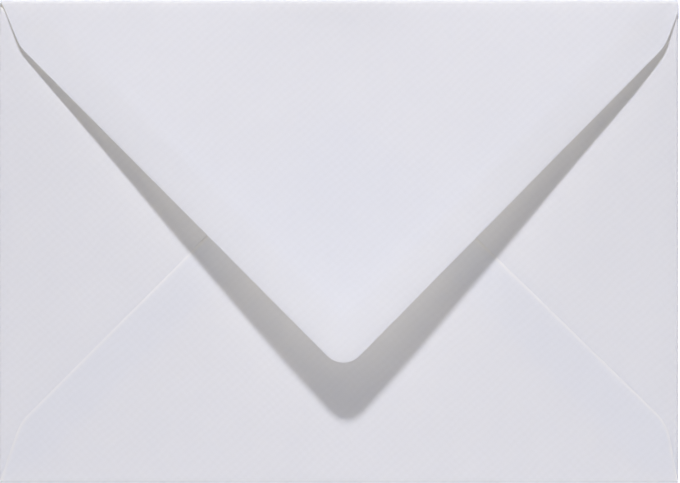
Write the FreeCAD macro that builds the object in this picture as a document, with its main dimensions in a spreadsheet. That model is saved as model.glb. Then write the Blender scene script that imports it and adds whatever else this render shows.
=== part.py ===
"""Paper envelope: one sheet, folded and glued into a pocket, with its pointed flap sprung open.

The envelope lies on its front. X runs along its length, Y points to the fold of the top flap and
Z points up. The origin is under the middle of the front panel, on the surface that it lies on.
"""

import FreeCAD, Part
import math
import os

import Sketcher

SHEET_NAME = "Sizes"
NODE = "envelope"

# Every size is in millimetres or degrees, measured in plan on the folded envelope.
SIZES = {
    "envelope_length": (176.0, "left fold to right fold"),
    "envelope_width": (125.0, "bottom fold to top fold"),
    "paper_thickness": (0.15, "one layer of the sheet"),
    "pocket_gap": (0.35, "clear height between front panel and side flaps"),
    "corner_relief": (0.6, "a side fold stops this far short of the folds at its ends"),
    "side_tip_in": (73.0, "left fold to the sharp tip of its side flap"),
    "side_tip_up": (67.0, "bottom fold to the sharp tip of a side flap"),
    "side_tip_radius": (8.0, "rounding of a side flap's tip"),
    "side_heel_in": (9.4, "side fold to the heel, where a side flap's lower edge turns"),
    "side_heel_radius": (4.0, "rounding of the heel"),
    "glue_overlap": (11.4, "width of side flap that lies under the bottom flap's edge"),
    "bottom_apex_up": (98.2, "bottom fold to the sharp tip of the bottom flap"),
    "bottom_tip_radius": (7.0, "rounding of the bottom flap's tip"),
    "bottom_left_in": (5.4, "left fold to the bottom flap's left shoulder"),
    "bottom_left_up": (15.4, "bottom fold to the bottom flap's left shoulder"),
    "bottom_right_in": (3.2, "right fold to the bottom flap's right shoulder"),
    "bottom_right_up": (15.0, "bottom fold to the bottom flap's right shoulder"),
    "shoulder_radius": (12.0, "rounding of every shoulder"),
    "top_apex_shift": (1.1, "the top flap is cut this far to the right of the middle"),
    "top_apex_down": (96.3, "top fold to the sharp tip of the top flap"),
    "top_tip_radius": (5.8, "rounding of the top flap's tip"),
    "top_left_in": (4.7, "left fold to the top flap's left shoulder"),
    "top_right_in": (3.0, "right fold to the top flap's right shoulder"),
    "top_shoulder_down": (11.1, "top fold to the top flap's shoulders"),
    "top_right_start": (3.6, "top fold to the start of the right shoulder"),
    "top_fold_height": (0.97, "outside height of the sprung top fold"),
    "spring_angle": (9.6, "slope at which the flap springs up from its fold"),
    "straight_to": (30.0, "top fold to the line where the flap starts to curve over"),
    "middle_tip_angle": (3.5, "slope of the flap past its tip"),
    "end_tip_angle": (-4.0, "slope as far down, for the surface of which the flap's ends are part"),
    "trim_margin": (3.0, "length of unshaped strip beyond the sharp tip before it is cut"),
}


def size(alias):
    """The expression for one size."""
    return f"{SHEET_NAME}.{alias}"


# Sizes that follow from others, as expressions: half lengths, layer heights and fold radii.
HALF_LENGTH = f"({size('envelope_length')} / 2)"
HALF_WIDTH = f"({size('envelope_width')} / 2)"
PAPER = size("paper_thickness")
SIDE_LEVEL = f"({PAPER} + {size('pocket_gap')})"
BOTTOM_LEVEL = f"(2 * {PAPER} + {size('pocket_gap')})"
SIDE_RADIUS = f"({size('pocket_gap')} / 2 + {PAPER})"
BOTTOM_RADIUS = f"(({BOTTOM_LEVEL} + {PAPER}) / 2)"
TOP_RADIUS = f"({size('top_fold_height')} / 2)"

# The slope of the bottom flap's left edge, from its shoulder up to the sharp tip.
SEAM_SLOPE = (
    f"(({size('bottom_apex_up')} - {size('bottom_left_up')})"
    f" / ({HALF_LENGTH} - {size('bottom_left_in')}))"
)


def fill_sheet(doc):
    """One row for each size: its number, with an alias, and what it measures."""
    sheet = doc.addObject("Spreadsheet::Sheet", SHEET_NAME)
    for row, (alias, (value, meaning)) in enumerate(SIZES.items(), start=1):
        sheet.set(f"A{row}", alias)
        sheet.set(f"B{row}", str(value))
        sheet.setAlias(f"B{row}", alias)
        sheet.set(f"C{row}", meaning)
    doc.recompute()
    return sheet


def number(sheet, expression):
    """The value of an expression, used only to draw a sketch near its solved shape."""
    value = sheet.evalExpression(expression)
    return float(getattr(value, "Value", value))


def origin_plane(body, role):
    """One of the body's own origin planes."""
    return next(plane for plane in body.Origin.OriginFeatures if plane.Role == role)


def sketch_on(body, name, role, height):
    """An empty sketch parallel to an origin plane, at a height above it."""
    sketch = body.newObject("Sketcher::SketchObject", name)
    sketch.AttachmentSupport = [(origin_plane(body, role), "")]
    sketch.MapMode = "FlatFace"
    sketch.setExpression("AttachmentOffset.Base.z", height)
    return sketch


def fix_place(sketch, geometry, position, place):
    """Dimension a point of the sketch from its origin, across and up."""
    for kind, expression in zip(("DistanceX", "DistanceY"), place):
        start = number(sketch.Document.getObject(SHEET_NAME), expression)
        row = sketch.addConstraint(Sketcher.Constraint(kind, -1, 1, geometry, position, start))
        sketch.setExpression(f"Constraints[{row}]", expression)


def fix_radius(sketch, geometry, expression):
    """Dimension the radius of an arc."""
    start = number(sketch.Document.getObject(SHEET_NAME), expression)
    row = sketch.addConstraint(Sketcher.Constraint("Radius", geometry, start))
    sketch.setExpression(f"Constraints[{row}]", expression)


def corner_arc(before, corner, after, radius):
    """The arc of a rounded corner, and where it leaves the line before and meets the one after."""
    back = (before - corner).normalize()
    ahead = (after - corner).normalize()
    half_angle = back.getAngle(ahead) / 2
    reach = radius / math.tan(half_angle)
    middle = corner + (back + ahead).normalize() * (radius / math.sin(half_angle))
    leave = corner + back * reach
    meet = corner + ahead * reach
    nearest = middle + (corner - middle).normalize() * radius
    return Part.Arc(leave, nearest, meet), leave, meet


def draw_outline(sketch, corners):
    """A closed outline of straight sides from (across, up, radius or None) for each corner.

    A rounded corner is an arc tangent to both its sides, and its two dimensions go to the point
    where those sides would cross.
    """
    sheet = sketch.Document.getObject(SHEET_NAME)
    points = [FreeCAD.Vector(number(sheet, x), number(sheet, y), 0) for x, y, _ in corners]
    count = len(corners)
    starts, ends, arcs = {}, {}, {}
    for i, (_, _, radius) in enumerate(corners):
        starts[i] = ends[i] = points[i]
        if radius:
            arc, ends[i], starts[i] = corner_arc(
                points[i - 1], points[i], points[(i + 1) % count], number(sheet, radius)
            )
            arcs[i] = sketch.addGeometry(arc)
    sides = [
        sketch.addGeometry(Part.LineSegment(starts[i], ends[(i + 1) % count])) for i in range(count)
    ]
    for i, (across, up, radius) in enumerate(corners):
        before, after = sides[i - 1], sides[i]
        if not radius:
            sketch.addConstraint(Sketcher.Constraint("Coincident", before, 2, after, 1))
            fix_place(sketch, after, 1, (across, up))
            continue
        arc = sketch.Geometry[arcs[i]]
        from_start = arc.StartPoint.distanceToPoint(ends[i])
        first = 1 if from_start < arc.EndPoint.distanceToPoint(ends[i]) else 2
        sketch.addConstraint(Sketcher.Constraint("Tangent", before, 2, arcs[i], first))
        sketch.addConstraint(Sketcher.Constraint("Tangent", arcs[i], 3 - first, after, 1))
        fix_radius(sketch, arcs[i], radius)
        crossing = sketch.addGeometry(Part.Point(points[i]), True)
        sketch.addConstraint(Sketcher.Constraint("PointOnObject", crossing, 1, before))
        sketch.addConstraint(Sketcher.Constraint("PointOnObject", crossing, 1, after))
        fix_place(sketch, crossing, 1, (across, up))


def draw_half_ring(sketch, centre, radius, side):
    """The section of a fold: a half ring one layer thick, open towards the pocket.

    side is -1 where the fold bulges to the left of the sketch and 1 where it bulges to the right.
    """
    sheet = sketch.Document.getObject(SHEET_NAME)
    middle = FreeCAD.Vector(number(sheet, centre[0]), number(sheet, centre[1]), 0)
    outer = number(sheet, radius)
    inner = outer - number(sheet, PAPER)
    turn = math.pi / 2
    first = -turn if side > 0 else turn
    normal = FreeCAD.Vector(0, 0, 1)
    rings = []
    for value in (outer, inner):
        circle = Part.Circle(middle, normal, value)
        rings.append(sketch.addGeometry(Part.ArcOfCircle(circle, first, first + math.pi)))
    for ring, expression in zip(rings, (radius, f"{radius} - {PAPER}")):
        fix_radius(sketch, ring, expression)
        fix_place(sketch, ring, 3, centre)
    for end in (1, 2):
        points = [getattr(sketch.Geometry[r], "StartPoint" if end == 1 else "EndPoint") for r in rings]
        cap = sketch.addGeometry(Part.LineSegment(*points))
        sketch.addConstraint(Sketcher.Constraint("Coincident", cap, 1, rings[0], end))
        sketch.addConstraint(Sketcher.Constraint("Coincident", cap, 2, rings[1], end))
        sketch.addConstraint(Sketcher.Constraint("Vertical", cap))
        sketch.addConstraint(Sketcher.Constraint("Vertical", rings[0], 3, rings[0], end))


def pad(body, name, sketch, length):
    """A pad of the sketch along its normal."""
    feature = body.newObject("PartDesign::Pad", name)
    feature.Profile = sketch
    feature.setExpression("Length", length)
    return feature


def front_panel(body):
    """The address side: a flat rectangle between the lines where the four folds begin."""
    left = f"-{HALF_LENGTH} + {SIDE_RADIUS}"
    right = f"{HALF_LENGTH} - {SIDE_RADIUS}"
    low = f"-{HALF_WIDTH} + {BOTTOM_RADIUS}"
    high = f"{HALF_WIDTH} - {TOP_RADIUS}"
    sketch = sketch_on(body, "front_outline", "XY_Plane", "0")
    draw_outline(sketch, [(left, low, None), (right, low, None), (right, high, None), (left, high, None)])
    pad(body, "front_panel", sketch, PAPER)


def side_flaps(body):
    """The left fold and its flap, rounded at the tip and heel, and their mirror images."""
    fold_line = f"-{HALF_LENGTH} + {SIDE_RADIUS}"
    low = f"-{HALF_WIDTH} + {BOTTOM_RADIUS} + {size('corner_relief')}"
    high = f"{HALF_WIDTH} - {size('top_fold_height')} - {size('corner_relief')}"
    ring = sketch_on(body, "side_fold_section", "XZ_Plane", f"-({high})")
    draw_half_ring(ring, (fold_line, SIDE_RADIUS), SIDE_RADIUS, -1)
    fold = pad(body, "side_fold", ring, f"({high}) - ({low})")

    # The heel lies the glued overlap below the bottom flap's edge, on a line parallel to it.
    seam_rise = f"({size('bottom_left_up')} - {size('bottom_left_in')} * {SEAM_SLOPE})"
    drop = f"({size('glue_overlap')} * sqrt(1 + {SEAM_SLOPE} ^ 2))"
    heel_up = f"-{HALF_WIDTH} + {seam_rise} + {size('side_heel_in')} * {SEAM_SLOPE} - {drop}"
    outline = sketch_on(body, "side_flap_outline", "XY_Plane", SIDE_LEVEL)
    draw_outline(
        outline,
        [
            (fold_line, low, None),
            (f"-{HALF_LENGTH} + {size('side_heel_in')}", heel_up, size("side_heel_radius")),
            (
                f"-{HALF_LENGTH} + {size('side_tip_in')}",
                f"-{HALF_WIDTH} + {size('side_tip_up')}",
                size("side_tip_radius"),
            ),
            (fold_line, high, None),
        ],
    )
    flap = pad(body, "side_flap", outline, PAPER)
    mirrored = body.newObject("PartDesign::Mirrored", "side_flap_mirrored")
    mirrored.Originals = [fold, flap]
    mirrored.MirrorPlane = (origin_plane(body, "YZ_Plane"), [""])
    body.Tip = mirrored


def bottom_flap(body):
    """The bottom fold and the V-shaped flap that is glued down on both side flaps."""
    fold_line = f"-{HALF_WIDTH} + {BOTTOM_RADIUS}"
    ring = sketch_on(body, "bottom_fold_section", "YZ_Plane", f"-{HALF_LENGTH}")
    draw_half_ring(ring, (fold_line, BOTTOM_RADIUS), BOTTOM_RADIUS, -1)
    pad(body, "bottom_fold", ring, size("envelope_length"))
    outline = sketch_on(body, "bottom_flap_outline", "XY_Plane", BOTTOM_LEVEL)
    draw_outline(
        outline,
        [
            (f"-{HALF_LENGTH}", fold_line, None),
            (HALF_LENGTH, fold_line, None),
            (
                f"{HALF_LENGTH} - {size('bottom_right_in')}",
                f"-{HALF_WIDTH} + {size('bottom_right_up')}",
                size("shoulder_radius"),
            ),
            ("0", f"-{HALF_WIDTH} + {size('bottom_apex_up')}", size("bottom_tip_radius")),
            (
                f"-{HALF_LENGTH} + {size('bottom_left_in')}",
                f"-{HALF_WIDTH} + {size('bottom_left_up')}",
                size("shoulder_radius"),
            ),
        ],
    )
    pad(body, "bottom_flap", outline, PAPER)


def flap_section(doc, name, across, tip_angle):
    """The line that the outside of the top fold and flap follows, in a plane across the fold.

    It goes round the fold, straight up off it at the spring angle, and then over in a rounded arc
    that ends past the tip. Each piece is tangent to the next.
    """
    sheet = doc.getObject(SHEET_NAME)
    sketch = doc.addObject("Sketcher::SketchObject", name)
    across_axis, up_axis, normal_axis = (FreeCAD.Vector(*v) for v in ((0, 1, 0), (0, 0, 1), (1, 0, 0)))
    upright = FreeCAD.Rotation(across_axis, up_axis, normal_axis, "XYZ")
    sketch.Placement = FreeCAD.Placement(FreeCAD.Vector(0, 0, 0), upright)
    sketch.setExpression("Placement.Base.x", across)

    centre_y = f"{HALF_WIDTH} - {TOP_RADIUS}"
    end = f"({size('top_apex_down')} + {size('trim_margin')})"
    sines = f"(sin({size('spring_angle')} * 1 deg) - sin({size(tip_angle)} * 1 deg))"
    crown_radius = f"({end} - {size('straight_to')}) / {sines}"

    spring = math.radians(number(sheet, size("spring_angle")))
    tip = math.radians(number(sheet, size(tip_angle)))
    radius = number(sheet, TOP_RADIUS)
    normal = FreeCAD.Vector(0, 0, 1)
    off_fold = FreeCAD.Vector(math.sin(spring), math.cos(spring), 0)
    fold_centre = FreeCAD.Vector(number(sheet, centre_y), radius, 0)
    fold_end = fold_centre + off_fold * radius
    straight_y = number(sheet, HALF_WIDTH) - number(sheet, size("straight_to"))
    straight_z = fold_end.y + (fold_end.x - straight_y) * math.tan(spring)
    straight_end = FreeCAD.Vector(straight_y, straight_z, 0)
    crown = number(sheet, crown_radius)
    crown_centre = straight_end - off_fold * crown

    turn = math.pi / 2
    fold_circle = Part.Circle(fold_centre, normal, radius)
    fold = sketch.addGeometry(Part.ArcOfCircle(fold_circle, -turn, turn - spring))
    line = sketch.addGeometry(Part.LineSegment(fold_end, straight_end))
    crown_circle = Part.Circle(crown_centre, normal, crown)
    over = sketch.addGeometry(Part.ArcOfCircle(crown_circle, turn - spring, turn - tip))

    fix_place(sketch, fold, 3, (centre_y, TOP_RADIUS))
    fix_radius(sketch, fold, TOP_RADIUS)
    sketch.addConstraint(Sketcher.Constraint("Vertical", fold, 3, fold, 1))
    sketch.addConstraint(Sketcher.Constraint("Tangent", fold, 2, line, 1))
    sketch.addConstraint(Sketcher.Constraint("Tangent", line, 2, over, 1))
    fix_radius(sketch, over, crown_radius)
    row = sketch.addConstraint(Sketcher.Constraint("Angle", line, math.pi - spring))
    sketch.setExpression(f"Constraints[{row}]", f"180 deg - {size('spring_angle')} * 1 deg")
    for geometry, down in ((line, size("straight_to")), (over, end)):
        expression = f"{HALF_WIDTH} - {down}"
        value = number(sheet, expression)
        row = sketch.addConstraint(Sketcher.Constraint("DistanceX", -1, 1, geometry, 2, value))
        sketch.setExpression(f"Constraints[{row}]", expression)
    return sketch


def top_flap(doc):
    """The top fold and the sprung flap: a bent strip, given its thickness and cut to outline."""
    sections = [
        flap_section(doc, "flap_section_left", f"-{HALF_LENGTH}", "end_tip_angle"),
        flap_section(doc, "flap_section_middle", "0", "middle_tip_angle"),
        flap_section(doc, "flap_section_right", HALF_LENGTH, "end_tip_angle"),
    ]
    strip = doc.addObject("Part::Loft", "flap_strip")
    strip.Sections = sections
    strip.Solid = False
    strip.Ruled = False
    sheet_strip = doc.addObject("Part::Offset", "flap_strip_thick")
    sheet_strip.Source = strip
    sheet_strip.Fill = True
    sheet_strip.setExpression("Value", f"-{PAPER}")

    cutter = doc.addObject("PartDesign::Body", "top_flap_cutter")
    outline = sketch_on(cutter, "top_flap_outline", "XY_Plane", "0")
    top = HALF_WIDTH
    draw_outline(
        outline,
        [
            (f"-{HALF_LENGTH}", top, None),
            (
                f"-{HALF_LENGTH} + {size('top_left_in')}",
                f"{top} - {size('top_shoulder_down')}",
                size("shoulder_radius"),
            ),
            (size("top_apex_shift"), f"{top} - {size('top_apex_down')}", size("top_tip_radius")),
            (
                f"{HALF_LENGTH} - {size('top_right_in')}",
                f"{top} - {size('top_shoulder_down')}",
                size("shoulder_radius"),
            ),
            (HALF_LENGTH, f"{top} - {size('top_right_start')}", None),
            (HALF_LENGTH, top, None),
        ],
    )
    pad(cutter, "top_flap_prism", outline, size("envelope_width"))

    flap = doc.addObject("Part::Common", "top_flap")
    flap.Base = sheet_strip
    flap.Tool = cutter
    return flap


def check(doc, solid):
    """Stop if an object of the document failed or the envelope isn't one valid solid."""
    for item in doc.Objects:
        if "Invalid" in item.State or "Error" in item.State:
            raise RuntimeError(f"{item.Label} failed: {item.State}")
    shape = solid.Shape
    if shape.isNull() or not shape.isValid() or len(shape.Solids) != 1:
        raise RuntimeError(f"{solid.Label} is not one valid solid")


def main():
    """Build the document and write the envelope."""
    os.makedirs("parts", exist_ok=True)
    doc = FreeCAD.newDocument("paper_envelope")
    fill_sheet(doc)
    pocket = doc.addObject("PartDesign::Body", "pocket")
    front_panel(pocket)
    side_flaps(pocket)
    bottom_flap(pocket)
    flap = top_flap(doc)
    envelope = doc.addObject("Part::Fuse", "envelope_fused")
    envelope.Base = pocket
    envelope.Tool = flap
    envelope.Refine = True
    envelope.Label = NODE
    doc.recompute()
    check(doc, envelope)
    box = envelope.Shape.BoundBox
    print(f"{NODE}: {box.XLength:.2f} x {box.YLength:.2f} x {box.ZLength:.2f} mm,")
    print(f"  volume {envelope.Shape.Volume:.1f} mm3, area {envelope.Shape.Area:.1f} mm2")
    envelope.Shape.exportStep(f"parts/{NODE}.step")


main()
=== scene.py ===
"""Paper envelope that lies on its front: the folded sheet, its paper, the table and the light."""

import math

import bpy
import numpy as np
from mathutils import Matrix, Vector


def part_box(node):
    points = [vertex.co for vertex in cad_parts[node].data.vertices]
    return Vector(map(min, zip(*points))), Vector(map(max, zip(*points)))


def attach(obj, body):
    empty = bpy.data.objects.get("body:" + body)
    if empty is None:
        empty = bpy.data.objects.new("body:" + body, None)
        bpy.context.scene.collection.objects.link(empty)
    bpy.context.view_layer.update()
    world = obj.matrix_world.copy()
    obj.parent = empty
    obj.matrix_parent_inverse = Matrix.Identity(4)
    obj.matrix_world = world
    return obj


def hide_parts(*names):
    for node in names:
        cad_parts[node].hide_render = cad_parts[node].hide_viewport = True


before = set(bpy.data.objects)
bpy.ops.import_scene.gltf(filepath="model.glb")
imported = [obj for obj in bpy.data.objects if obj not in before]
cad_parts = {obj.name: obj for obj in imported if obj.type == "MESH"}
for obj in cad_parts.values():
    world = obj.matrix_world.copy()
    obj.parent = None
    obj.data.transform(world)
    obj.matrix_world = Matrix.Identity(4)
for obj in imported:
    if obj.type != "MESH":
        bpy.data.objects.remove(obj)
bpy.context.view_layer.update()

# The front panel.
# The envelope is one sheet of writing paper, die-cut to a cross and folded over at four lines. It
# lies on its front panel, the address side, which is flat between the lines where the folds
# begin. Sizes are in millimetres, in plan on the folded envelope, unless they are heights.
MM = 0.001
low_corner, high_corner = (np.array(corner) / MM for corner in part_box("envelope"))
LEFT, RIGHT = low_corner[0], high_corner[0]
BOTTOM, TOP = low_corner[1], high_corner[1]
PAPER = 0.15
POCKET_GAP = 0.35
GLUE_FILM = 0.06
CORNER_RELIEF = 0.6
SIDE_LEVEL = 2 * PAPER + POCKET_GAP
BACK_LEVEL = SIDE_LEVEL + GLUE_FILM + PAPER
SIDE_RADIUS = SIDE_LEVEL / 2
BOTTOM_RADIUS = BACK_LEVEL / 2
TOP_RADIUS = 0.485
COLUMNS = 184
PANEL_ROWS = 70
NO_EDGE = 99.0


class Sheet:
    """Gathers the panels of the sheet, each a grid of points, into one mesh."""

    def __init__(self):
        self.points, self.faces, self.edge, self.gum, self.count = [], [], [], [], 0

    def add(self, x, y, z, edge, gum=None, flip=False):
        """Adds a grid, with each point's distance to the cut edge and its share of dried gum.

        Every four neighbours in the grid make a face, which flip turns over.
        """
        rows, columns = x.shape
        index = np.arange(rows * columns).reshape(rows, columns) + self.count
        quads = np.stack([index[:-1, :-1], index[:-1, 1:], index[1:, 1:], index[1:, :-1]], -1)
        quads = quads.reshape(-1, 4)
        self.faces.append(quads[:, ::-1] if flip else quads)
        self.points.append(np.stack([x, y, z], -1).reshape(-1, 3))
        self.edge.append(edge.ravel())
        self.gum.append((np.zeros_like(x) if gum is None else gum).ravel())
        self.count += rows * columns


panel_left, panel_right = LEFT + SIDE_RADIUS, RIGHT - SIDE_RADIUS
panel_bottom, panel_top = BOTTOM + BOTTOM_RADIUS, TOP - TOP_RADIUS
side_bottom = panel_bottom + CORNER_RELIEF
side_top = TOP - 2 * TOP_RADIUS - CORNER_RELIEF
across = np.linspace(panel_left, panel_right, COLUMNS)
side_rows = np.linspace(side_bottom, side_top, PANEL_ROWS)
panel_x, panel_y = np.meshgrid(across, np.concatenate([[panel_bottom], side_rows, [panel_top]]))
sheet = Sheet()
sheet.add(panel_x, panel_y, np.zeros_like(panel_x), np.full_like(panel_x, NO_EDGE), flip=True)

# The side flaps.
# Folded in first, one from each end, with a rounded tip near the middle of the pocket. They lie
# flat on the front panel with a little air between, because a fold springs open, and their lower
# edges run along the bottom flap's edges, a glue overlap inside them.
BOTTOM_LEFT = (5.2, 15.5)
BOTTOM_RIGHT = (2.6, 15.2)
BOTTOM_APEX = 98.2
GLUE_OVERLAP = 11.4
SIDE_TIP = (73.0, 67.0, 8.0)
SIDE_HEEL = (9.4, 4.0)
LEAST_REACH = 0.01
ARC_STEPS = 24
FOLD_STEPS = 9
FLAP_STEPS = 26
ROLL_DEPTH = 0.07
ROLL_WIDTH = 0.7
CLOSE_ROWS = (0.36, 0.64, 0.84, 1)


def outline(corners):
    """Points along a path of straight runs whose corners (x, y, radius) are rounded by arcs.

    An arc leaves its corner's sides at radius / tan(half the corner's angle), and its points are
    the centre plus the radius turned evenly from one side's foot to the other's.
    """
    places = np.array([corner[:2] for corner in corners], float)
    path = [places[:1]]
    for before, corner, after, (_, _, radius) in zip(places, places[1:], places[2:], corners[1:]):
        back = (before - corner) / np.linalg.norm(before - corner)
        ahead = (after - corner) / np.linalg.norm(after - corner)
        half = math.acos(np.clip(back @ ahead, -1, 1)) / 2
        inward = (back + ahead) / np.linalg.norm(back + ahead)
        centre = corner + inward * radius / math.sin(half)
        first = corner + back * radius / math.tan(half) - centre
        last = corner + ahead * radius / math.tan(half) - centre
        turn = math.atan2(first[0] * last[1] - first[1] * last[0], first @ last)
        angles = np.linspace(0, turn, ARC_STEPS)[:, None]
        sideways = np.array([-first[1], first[0]])
        path.append(centre + np.cos(angles) * first + np.sin(angles) * sideways)
    path.append(places[-1:])
    return np.concatenate(path)


def distance_to(path, x, y):
    """The least distance from each point (x, y) to the straight runs of a path.

    The nearest place on a run is the point's foot on its line, held between the run's two ends.
    """
    starts, runs = path[:-1], np.diff(path, axis=0)
    keep = np.hypot(*runs.T) > 0
    best = np.full(x.shape, np.inf)
    for start, run in zip(starts[keep], runs[keep]):
        share = ((x - start[0]) * run[0] + (y - start[1]) * run[1]) / (run @ run)
        share = np.clip(share, 0, 1)
        gap = np.hypot(x - start[0] - share * run[0], y - start[1] - share * run[1])
        best = np.minimum(best, gap)
    return best


def fold_over(radius, slope, steps):
    """Section of a fold: how far out and how high each step of its arc is, from under to over.

    The arc starts level at the foot of a circle and ends on its top, or short of it where the
    sheet leaves the fold with a slope.
    """
    angles = np.linspace(-math.pi / 2, math.pi / 2 - math.atan(slope), steps)
    return np.cos(angles) * radius, radius + np.sin(angles) * radius


def cut_roll(edge):
    """How far the knife rolled a cut edge down: a parabola that ends a roll's width inside it."""
    return ROLL_DEPTH * np.clip(1 - edge / ROLL_WIDTH, 0, 1) ** 2


def run_out(length, steps):
    """Rows of distances over a length: even ones, then close ones over the rolled cut edge."""
    band = np.minimum(ROLL_WIDTH, length / 2)
    even = np.linspace(0, 1, steps - len(CLOSE_ROWS))[1:, None]
    close = np.array(CLOSE_ROWS)[:, None]
    return np.concatenate([(length - band) * even, length - band * (1 - close)])


seam_slope = (BOTTOM_APEX - BOTTOM_LEFT[1]) / (RIGHT - BOTTOM_LEFT[0])
heel_up = BOTTOM_LEFT[1] + (SIDE_HEEL[0] - BOTTOM_LEFT[0]) * seam_slope
heel_up -= GLUE_OVERLAP * math.hypot(1, seam_slope)
side_path = outline([
    (panel_left, side_bottom, 0),
    (LEFT + SIDE_HEEL[0], BOTTOM + heel_up, SIDE_HEEL[1]),
    (LEFT + SIDE_TIP[0], BOTTOM + SIDE_TIP[1], SIDE_TIP[2]),
    (panel_left, side_top, 0),
])
reach = np.interp(side_rows, side_path[:, 1], side_path[:, 0]) - panel_left
out, height = fold_over(SIDE_RADIUS, 0, FOLD_STEPS)
fold_x = np.broadcast_to(panel_left - out, (PANEL_ROWS, FOLD_STEPS))
fold_z = np.broadcast_to(height, (PANEL_ROWS, FOLD_STEPS))
flap_x = panel_left + run_out(np.maximum(reach, LEAST_REACH), FLAP_STEPS).T
side_x = np.concatenate([fold_x, flap_x], 1)
side_y = np.broadcast_to(side_rows[:, None], side_x.shape)
side_edge = distance_to(side_path, side_x, side_y)
side_edge[:, :FOLD_STEPS] = NO_EDGE
side_z = np.concatenate([fold_z, np.full_like(flap_x, SIDE_LEVEL)], 1) - cut_roll(side_edge)
sheet.add(side_x, side_y, side_z, side_edge)
sheet.add(-side_x, side_y, side_z, side_edge, flip=True)

# The bottom flap.
# Folded up over the side flaps and glued to them along its two edges, so it is pressed down there
# and bulges a hair inside the side flaps' hidden edges, where nothing holds it.
BOTTOM_SHOULDER_RADIUS = 12.0
BOTTOM_TIP_RADIUS = 7.0
BOTTOM_STEPS = 46
POCKET_BULGE = 0.10
BULGE_IN = (GLUE_OVERLAP - 2, GLUE_OVERLAP + 3)
BULGE_UP = 20


def smooth_step(value, low, high):
    """0 up to low, 1 from high on, and the cubic 3t^2 - 2t^3 between them."""
    share = np.clip((value - low) / (high - low), 0, 1)
    return share * share * (3 - 2 * share)


bottom_path = outline([
    (LEFT, panel_bottom, 0),
    (LEFT + BOTTOM_LEFT[0], BOTTOM + BOTTOM_LEFT[1], BOTTOM_SHOULDER_RADIUS),
    (0, BOTTOM + BOTTOM_APEX, BOTTOM_TIP_RADIUS),
    (RIGHT - BOTTOM_RIGHT[0], BOTTOM + BOTTOM_RIGHT[1], BOTTOM_SHOULDER_RADIUS),
    (RIGHT, panel_bottom, 0),
])
wide = np.concatenate([[LEFT], across, [RIGHT]])
reach = np.interp(wide, bottom_path[:, 0], bottom_path[:, 1]) - panel_bottom
out, height = fold_over(BOTTOM_RADIUS, 0, FOLD_STEPS)
fold_y = np.broadcast_to((panel_bottom - out)[:, None], (FOLD_STEPS, len(wide)))
fold_z = np.broadcast_to(height[:, None], (FOLD_STEPS, len(wide)))
flap_y = panel_bottom + run_out(np.maximum(reach, LEAST_REACH), BOTTOM_STEPS)
bottom_y = np.concatenate([fold_y, flap_y])
bottom_x = np.broadcast_to(wide, bottom_y.shape)
bottom_edge = distance_to(bottom_path, bottom_x, bottom_y)
bulge = POCKET_BULGE * smooth_step(bottom_edge, *BULGE_IN)
bulge *= smooth_step(bottom_y, panel_bottom, panel_bottom + BULGE_UP)
bottom_edge[:FOLD_STEPS] = NO_EDGE
bottom_z = np.concatenate([fold_z, np.full_like(flap_y, BACK_LEVEL)])
bottom_z += bulge - cut_roll(bottom_edge)
sheet.add(bottom_x, bottom_y, bottom_z, bottom_edge)

# The top flap.
# The pointed flap that closes the envelope, folded over at the top and sprung open. A strip of
# dried gum under its two edges has shrunk and curls them down, and the crease is uneven along
# the fold. Its corners are given from the fold at their end and from the top fold.
TOP_START = 0.3
TOP_LEFT = (5.2, 11.9)
TOP_RIGHT = (3.4, 11.8, 3.2)
TOP_APEX = (1.2, 96.2)
TOP_SHOULDER_RADIUS = 10.0
TOP_TIP_RADIUS = 5.8
TOP_STEPS = 104
CREASE_STEPS = 14
CREASE_SLOPE = 0.3

# How it rises from the fold: heights, slopes, and how far down or along the fold each acts.
CREASE_LIFT = 0.10
CREASE_REACH = 0.8
SPRING_SLOPE = 0.172
TOWARDS_TIP = (60, 8, -0.058)
AT_TIP = (83, 3, -0.06)
SAG_DEPTH = 0.45
SAG_PLACE = 50
SAG_BREADTH = 22
WAVE_SLOPE = 0.044
WAVE_LENGTH = 94
WAVE_REACH = 22
MIDDLE_PRESS = 0.8
MIDDLE_BREADTH = 17
MIDDLE_DOWN = 18
END_PRESS = 0.62
END_SPAN = (75.5, 87)
END_DOWN = 9
TWIST_HEIGHT = 0.5
TWIST_ARM = 80
TWIST_SHIFT = 0.2
TWIST_DOWN = 22


def bell(offset, breadth):
    """1 in the middle and less on both sides: e to the minus (offset / breadth) squared."""
    return np.exp(-((offset / breadth) ** 2))


def swell(down, place):
    """0 at the fold, 1 at a place down the flap and less after it: t times e to the (1 - t)."""
    return (down / place) * np.exp(1 - down / place)


def slope_change(down, place, softness, change):
    """Height gained where the slope changes by change around place, softly: a soft-plus ramp."""
    return change * softness * np.logaddexp(0, (down - place) / softness)


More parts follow.
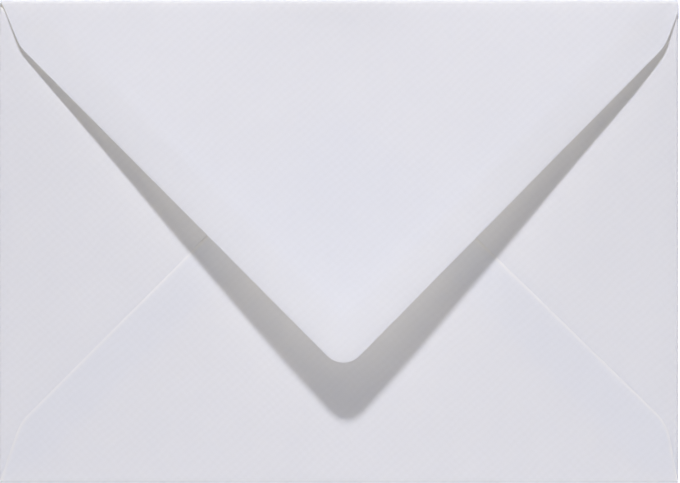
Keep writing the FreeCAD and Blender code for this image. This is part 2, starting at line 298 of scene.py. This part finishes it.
def flap_rise(x, down):
    """Height of the flap's outside over the end of the fold's arc, before its edges curl.

    The slope eases on the way to the tip, which curls down, and the sheet sags a little between.
    Right beside the crease the paper rises a little more, and a slow wave along the fold, which
    dies away with distance from it, leaves the middle and the ends lower than the parts between.
    The middle and the right end were pressed lower still, and the right half springs open further.
    """
    middle = x - TOP_APEX[0]
    rise = SPRING_SLOPE * down
    rise += slope_change(down, *TOWARDS_TIP) + slope_change(down, *AT_TIP)
    rise -= SAG_DEPTH * bell(down - SAG_PLACE, SAG_BREADTH)
    rise += CREASE_LIFT * (1 - np.exp(-down / CREASE_REACH))
    wave = WAVE_SLOPE * np.cos(2 * math.pi * middle / WAVE_LENGTH) * down
    wave *= np.exp(-down / WAVE_REACH)
    pressed = MIDDLE_PRESS * bell(middle, MIDDLE_BREADTH) * swell(down, MIDDLE_DOWN)
    pressed += END_PRESS * smooth_step(x, *END_SPAN) * swell(down, END_DOWN)
    twist = TWIST_HEIGHT * (x / TWIST_ARM - TWIST_SHIFT) * swell(down, TWIST_DOWN)
    return rise - wave - pressed + twist


# The gum, and how it curls the edge that it is under.
GUM_WIDTH = 9.8
GUM_MARGIN = (0.3, 1.0)
GUM_FADE = 1
GUM_START = (4, 6)
CURL_ANGLE = 0.247
CURL_LIP = 0.05
CURL_SPAN = (4, 42)
RIDGE_HEIGHT = 0.08
RIDGE_BREADTH = 2.5


def gum_curl(edge, down):
    """How far the drying gum pulls the flap's edge down from the flap's own surface.

    The paper turns down from the inner side of the gum at an angle that grows evenly to the cut
    edge and fastest just beside it, and a low ridge runs along the gum's inner side.
    """
    inward = np.clip(1 - edge / GUM_WIDTH, 0, 1)
    drop = CURL_ANGLE * GUM_WIDTH * (inward**2 / 2 + CURL_LIP * inward**7)
    ridge = RIDGE_HEIGHT * bell(edge - GUM_WIDTH, RIDGE_BREADTH)
    return (drop - ridge) * smooth_step(down, *CURL_SPAN)


top_path = outline([
    (LEFT + TOP_START, TOP, 0),
    (LEFT + TOP_LEFT[0], TOP - TOP_LEFT[1], TOP_SHOULDER_RADIUS),
    (TOP_APEX[0], TOP - TOP_APEX[1], TOP_TIP_RADIUS),
    (RIGHT - TOP_RIGHT[0], TOP - TOP_RIGHT[1], TOP_SHOULDER_RADIUS),
    (RIGHT, TOP - TOP_RIGHT[2], 0),
])
reach = np.interp(wide, top_path[:, 0], TOP - top_path[:, 1]) - TOP_RADIUS
out, height = fold_over(TOP_RADIUS, CREASE_SLOPE, CREASE_STEPS)
fold_y = np.broadcast_to((panel_top + out)[:, None], (CREASE_STEPS, len(wide)))
fold_z = np.broadcast_to(height[:, None], (CREASE_STEPS, len(wide)))
crease_line = fold_y[-1, 0]
down = run_out(np.maximum(reach, LEAST_REACH) + crease_line - panel_top, TOP_STEPS)
flap_x = np.broadcast_to(wide, down.shape)
flap_y = crease_line - down
top_edge = distance_to(top_path, flap_x, flap_y)
flap_z = height[-1] + flap_rise(flap_x, down) - gum_curl(top_edge, down) - cut_roll(top_edge)
flap_gum = smooth_step(top_edge, *GUM_MARGIN) * smooth_step(down, *GUM_START)
flap_gum *= 1 - smooth_step(top_edge, GUM_WIDTH - GUM_FADE, GUM_WIDTH + GUM_FADE)
top_y = np.concatenate([fold_y, flap_y])
top_x = np.broadcast_to(wide, top_y.shape)
top_z = np.concatenate([fold_z, flap_z])
top_gum = np.concatenate([np.zeros_like(fold_y), flap_gum])
sheet.add(top_x, top_y, top_z, np.full_like(top_y, NO_EDGE), top_gum, flip=True)

# The folded sheet.
# The panels meet at their fold lines, so the points they share are merged, and the paper gets its
# thickness inwards from the outside face. The glued edges were pressed hard, which crushed the
# outer face of their rims a little thinner.
WELD = 0.002
SHARP_ANGLE = 40
RIM_CRUSH = 0.07
RIM_WIDTH = 0.8


def put(name, data):
    """Puts an object that shows this data in the scene."""
    made = bpy.data.objects.new(name, data)
    bpy.context.collection.objects.link(made)
    return made


mesh = bpy.data.meshes.new("envelope_sheet")
points = np.concatenate(sheet.points) * MM
mesh.from_pydata(points.tolist(), [], np.concatenate(sheet.faces).tolist())
for name, values in (("cut_edge", sheet.edge), ("gum", sheet.gum)):
    mesh.attributes.new(name, "FLOAT", "POINT").data.foreach_set("value", np.concatenate(values))
mesh.update()
envelope = put("envelope_sheet", mesh)
weld = envelope.modifiers.new("fold_lines", "WELD")
weld.merge_threshold = WELD * MM
thick = envelope.modifiers.new("paper", "SOLIDIFY")
thick.thickness = PAPER * MM
thick.offset = -1
evaluated = envelope.evaluated_get(bpy.context.evaluated_depsgraph_get())
finished = bpy.data.meshes.new_from_object(evaluated)
envelope.modifiers.clear()
envelope.data = finished
finished.name = "envelope_sheet_thick"
finished.shade_smooth()
finished.set_sharp_from_angle(angle=math.radians(SHARP_ANGLE))

# The outer face's points come first, and the inner face's are the second half.
count = len(finished.vertices)
inside = np.zeros(count)
inside[count // 2:] = 1
finished.attributes.new("inside", "FLOAT", "POINT").data.foreach_set("value", inside)
to_edge = np.zeros(count)
finished.attributes["cut_edge"].data.foreach_get("value", to_edge)
places = np.zeros(count * 3)
finished.vertices.foreach_get("co", places)
crush = RIM_CRUSH * np.clip(1 - to_edge / RIM_WIDTH, 0, 1) ** 2 * (1 - inside)
places[2::3] -= crush * MM
finished.vertices.foreach_set("co", places)
finished.update()

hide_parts("envelope")
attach(envelope, "root")

# The paper.
# Uncoated, bluish-white and matt, with the faint slanting wire pattern of a laid paper cut on the
# bias, and cloudy where the fibres lie thicker. Its cut rims are painted whiter, partly for the
# paler fibres that a fresh cut bares and partly as a painted highlight where the rims face the
# lamp; the dried gum under the top flap is yellower and glossier, and a little warm light passes
# through the sheet.
PAPER_COLOUR = (0.816, 0.850, 0.962)
INSIDE_COLOUR = (0.93, 0.90, 0.82, 1)
# Colour of the whitened cut rims: partly the cut's paler fibres, partly a painted highlight where
# the rims face the lamp.
CUT_RIM_AND_HIGHLIGHT_COLOUR = (0.925, 0.94, 1.0, 1)
GUM_COLOUR = (0.92, 0.87, 0.72, 1)
THROUGH_COLOUR = (1.0, 0.96, 0.83, 1)
THROUGH_SHARE = 0.545
WIRE_PITCH = 1.68
WIRE_TILT = -47.7
CROSS_PITCH = 1.6
CROSS_TILT = 45
WIRE_BEND = 7
WIRE_TONE = 0.026
CROSS_TONE = 0.017
FIBRE_TONE = 0.05
FORMATION_TONE = 0.025
COCKLE_TONE = 0.03
CROSS_RELIEF = 0.6
FIBRE_RELIEF = 2.2
RELIEF_DEPTH = 0.015
CUT_RIM_HIGHLIGHT_STRENGTH = 1.25
CUT_RIM_HIGHLIGHT_WIDTH = 0.8
PAPER_ROUGHNESS = 0.72
FIBRE_ROUGHNESS = 0.12
GUM_GLOSS = 0.3
PAPER_SPECULAR = 0.3


class Value:
    """A number inside a finish's node tree, with sums written as Python expressions."""

    def __init__(self, finish, socket):
        self.finish, self.socket = finish, socket

    def maths(self, operation, first, second):
        return self.finish.node("ShaderNodeMath", {"operation": operation}, {0: first, 1: second})

    def __add__(self, other):
        return self.maths("ADD", self, other)

    def __sub__(self, other):
        return self.maths("SUBTRACT", self, other)

    def __rsub__(self, other):
        return self.maths("SUBTRACT", other, self)

    def __mul__(self, other):
        return self.maths("MULTIPLY", self, other)

    def __truediv__(self, other):
        return self.maths("DIVIDE", self, other)

    def sine(self):
        return self.maths("SINE", self, 0)

    def clamp(self):
        return self.finish.node("ShaderNodeClamp", {}, {"Value": self})

    __radd__, __rmul__ = __add__, __mul__


class Finish:
    """The node tree of a material or of the room, with one method that makes any node."""

    def __init__(self, owner):
        owner.use_nodes = True
        self.owner, self.tree = owner, owner.node_tree
        self.tree.nodes.clear()

    def node(self, kind, settings, inputs, output=0):
        """Makes a node, sets its properties, then its inputs, and returns one output, if any."""
        made = self.tree.nodes.new(kind)
        for key, setting in settings.items():
            setattr(made, key, setting)
        for key, given in inputs.items():
            if isinstance(given, Value):
                self.tree.links.new(given.socket, made.inputs[key])
            else:
                made.inputs[key].default_value = given
        return Value(self, made.outputs[output]) if made.outputs else None


def cloud(scale, detail, roughness=0.5):
    """Noise between 0 and 1, with about scale blotches a millimetre."""
    settings = {"noise_dimensions": "3D"}
    inputs = {"Vector": millimetres, "Scale": scale, "Detail": detail, "Roughness": roughness}
    return paper.node("ShaderNodeTexNoise", settings, inputs)


def wires(pitch, tilt, drift):
    """The ridges of a set of wires: a sine across them, bent a little by a slow cloud."""
    turn, tilt = 2 * math.pi / pitch, math.radians(tilt)
    across_wires = x_mm * (turn * math.cos(tilt)) + y_mm * (turn * math.sin(tilt))
    return (across_wires + cloud(drift, detail=1) * WIRE_BEND).sine()


def carried(name):
    """The value that the sheet's own points carry under this name."""
    return paper.node("ShaderNodeAttribute", {"attribute_name": name}, {}, "Fac")


def blend(share, first, second):
    """A colour that goes from the first to the second as the share goes from 0 to 1."""
    inputs = {"Factor": share, 6: first, 7: second}
    return paper.node("ShaderNodeMix", {"data_type": "RGBA"}, inputs, 2)


paper = Finish(bpy.data.materials.new("envelope_paper"))
place = paper.node("ShaderNodeTexCoord", {}, {}, "Object")
scaling = {"operation": "SCALE"}
millimetres = paper.node("ShaderNodeVectorMath", scaling, {0: place, "Scale": 1 / MM})
x_mm = paper.node("ShaderNodeSeparateXYZ", {}, {0: millimetres}, "X")
y_mm = paper.node("ShaderNodeSeparateXYZ", {}, {0: millimetres}, "Y")
pattern = wires(WIRE_PITCH, WIRE_TILT, drift=0.12) * cloud(scale=0.18, detail=2)
crossing = wires(CROSS_PITCH, CROSS_TILT, drift=0.15) * cloud(scale=0.2, detail=2)
fibres = cloud(scale=3.2, detail=4, roughness=0.65) - 0.5
formation = cloud(scale=0.35, detail=3) - 0.5
cockle = cloud(scale=0.035, detail=2) - 0.5
tone = 1 + pattern * WIRE_TONE + crossing * CROSS_TONE + fibres * FIBRE_TONE
tone = tone + formation * FORMATION_TONE + cockle * COCKLE_TONE
relief = pattern + crossing * CROSS_RELIEF + fibres * FIBRE_RELIEF
inner_face = carried("inside")
# Painted highlight in part: the outer face is whitened within a narrow width of each cut edge, as
# if the rim caught the lamp.
cut_rim_and_highlight = (CUT_RIM_HIGHLIGHT_STRENGTH - carried("cut_edge") / CUT_RIM_HIGHLIGHT_WIDTH).clamp()
gummed = (carried("gum") * inner_face).clamp()
outer_colour = paper.node("ShaderNodeVectorMath", scaling, {0: PAPER_COLOUR, "Scale": tone})
# Blends in the whiter rim colour, partly paler cut fibres and partly a painted highlight along the
# lit rims.
outer_colour = blend(cut_rim_and_highlight, outer_colour, CUT_RIM_AND_HIGHLIGHT_COLOUR)
colour = blend(gummed, blend(inner_face, outer_colour, INSIDE_COLOUR), GUM_COLOUR)
bump_inputs = {"Strength": 1.0, "Distance": RELIEF_DEPTH * MM, "Height": relief}
front = paper.node("ShaderNodeBsdfPrincipled", {}, {
    "Base Color": colour,
    "Roughness": PAPER_ROUGHNESS + fibres * FIBRE_ROUGHNESS - gummed * GUM_GLOSS,
    "Specular IOR Level": PAPER_SPECULAR,
    "Normal": paper.node("ShaderNodeBump", {}, bump_inputs),
})
through = paper.node("ShaderNodeBsdfTranslucent", {}, {"Color": THROUGH_COLOUR})
both = paper.node("ShaderNodeMixShader", {}, {0: THROUGH_SHARE, 1: front, 2: through})
paper.node("ShaderNodeOutputMaterial", {}, {"Surface": both})
finished.materials.clear()
finished.materials.append(paper.owner)

# The table.
# A plain pale top, just under the paper and wide enough for any view, that isn't part of the
# object. It keeps the shadow near the envelope and fades to white for the camera farther off.
TABLE_SIZE = 6.0
TABLE_DROP = 0.05
TABLE_COLOUR = (0.93, 0.93, 0.93, 1)
TABLE_ROUGHNESS = 0.9
WHITE = (1, 1, 1, 1)
FADE_START = 0.2
FADE_END = 0.5
corners = np.array([(-1, -1, 0), (1, -1, 0), (1, 1, 0), (-1, 1, 0)]) * TABLE_SIZE / 2
corners[:, 2] = -TABLE_DROP * MM
table_mesh = bpy.data.meshes.new("table_top")
table_mesh.from_pydata(corners.tolist(), [], [(0, 1, 2, 3)])
table = put("table_top", table_mesh)
pale = Finish(bpy.data.materials.new("table_top"))
surface = {"Base Color": TABLE_COLOUR, "Roughness": TABLE_ROUGHNESS}
top_shader = pale.node("ShaderNodeBsdfPrincipled", {}, surface)
plain_white = pale.node("ShaderNodeEmission", {}, {"Color": WHITE})
spot = pale.node("ShaderNodeTexCoord", {}, {}, "Object")
away = pale.node("ShaderNodeVectorMath", {"operation": "LENGTH"}, {0: spot}, "Value")
fade = {"Value": away, "From Min": FADE_START, "From Max": FADE_END}
far_off = pale.node("ShaderNodeMapRange", {"interpolation_type": "SMOOTHSTEP"}, fade)
to_camera = pale.node("ShaderNodeLightPath", {}, {}, "Is Camera Ray")
shares = {0: far_off * to_camera, 1: top_shader, 2: plain_white}
faded = pale.node("ShaderNodeMixShader", {}, shares)
pale.node("ShaderNodeOutputMaterial", {}, {"Surface": faded})
table_mesh.materials.append(pale.owner)

# The light.
# A small lamp beyond the top fold, 40 degrees up and a little to the left, throws the flap's
# shadow. A broad soft one above the near side fills that shadow, and the room adds a little from
# all round.
COOL_WHITE = (0.953, 0.979, 1.115)
ROOM_STRENGTH = 0.02


def lamp(name, kind, distance, height, turn, power):
    """A lamp that faces the envelope, with its height and turn in degrees.

    It stands at the distance times the cosine and sine of its height, turned from the far side.
    """
    data = bpy.data.lights.new(name, kind)
    data.energy = power
    data.color = COOL_WHITE
    up_angle, turn = math.radians(height), math.radians(turn)
    made = put(name, data)
    made.location = (
        distance * math.cos(up_angle) * math.sin(turn),
        distance * math.cos(up_angle) * math.cos(turn),
        distance * math.sin(up_angle),
    )
    made.rotation_euler = (math.pi / 2 - up_angle, 0, math.pi - turn)
    return data


key = lamp("key_lamp", "POINT", distance=0.95, height=40, turn=-3.5, power=36.3)
key.shadow_soft_size = 0.042
soft = lamp("soft_lamp", "AREA", distance=0.55, height=55, turn=174, power=2.14)
soft.size = 0.26
room = Finish(bpy.data.worlds.new("room"))
seen = room.node("ShaderNodeLightPath", {}, {}, "Is Camera Ray")
glow = {"Color": (*COOL_WHITE, 1), "Strength": ROOM_STRENGTH}
fill = room.node("ShaderNodeBackground", {}, glow)
backdrop = room.node("ShaderNodeBackground", {}, {"Color": WHITE})
chosen = room.node("ShaderNodeMixShader", {}, {0: seen, 1: fill, 2: backdrop})
room.node("ShaderNodeOutputWorld", {}, {"Surface": chosen})
scene = bpy.context.scene
scene.world = room.owner

# The camera.
# It looks straight down with a long lens, and the envelope fills its picture from edge to edge.
PICTURE_WIDTH_PX = 680
SCALE_PX = 3.851
MIDDLE_SHIFT_PX = 1.15
CAMERA_HEIGHT = 2.0
SENSOR_MM = 36.0
camera_data = bpy.data.cameras.new("camera")
camera_data.sensor_width = SENSOR_MM
camera_data.sensor_fit = "HORIZONTAL"
seen_width = PICTURE_WIDTH_PX / SCALE_PX * MM
camera_data.lens = SENSOR_MM * CAMERA_HEIGHT / seen_width
camera_data.clip_start = 0.05
camera_data.clip_end = 20
camera = put("camera", camera_data)
camera.location = (MIDDLE_SHIFT_PX / SCALE_PX * MM, 0, CAMERA_HEIGHT + BACK_LEVEL * MM)
scene.camera = camera
scene.view_settings.view_transform = "Standard"
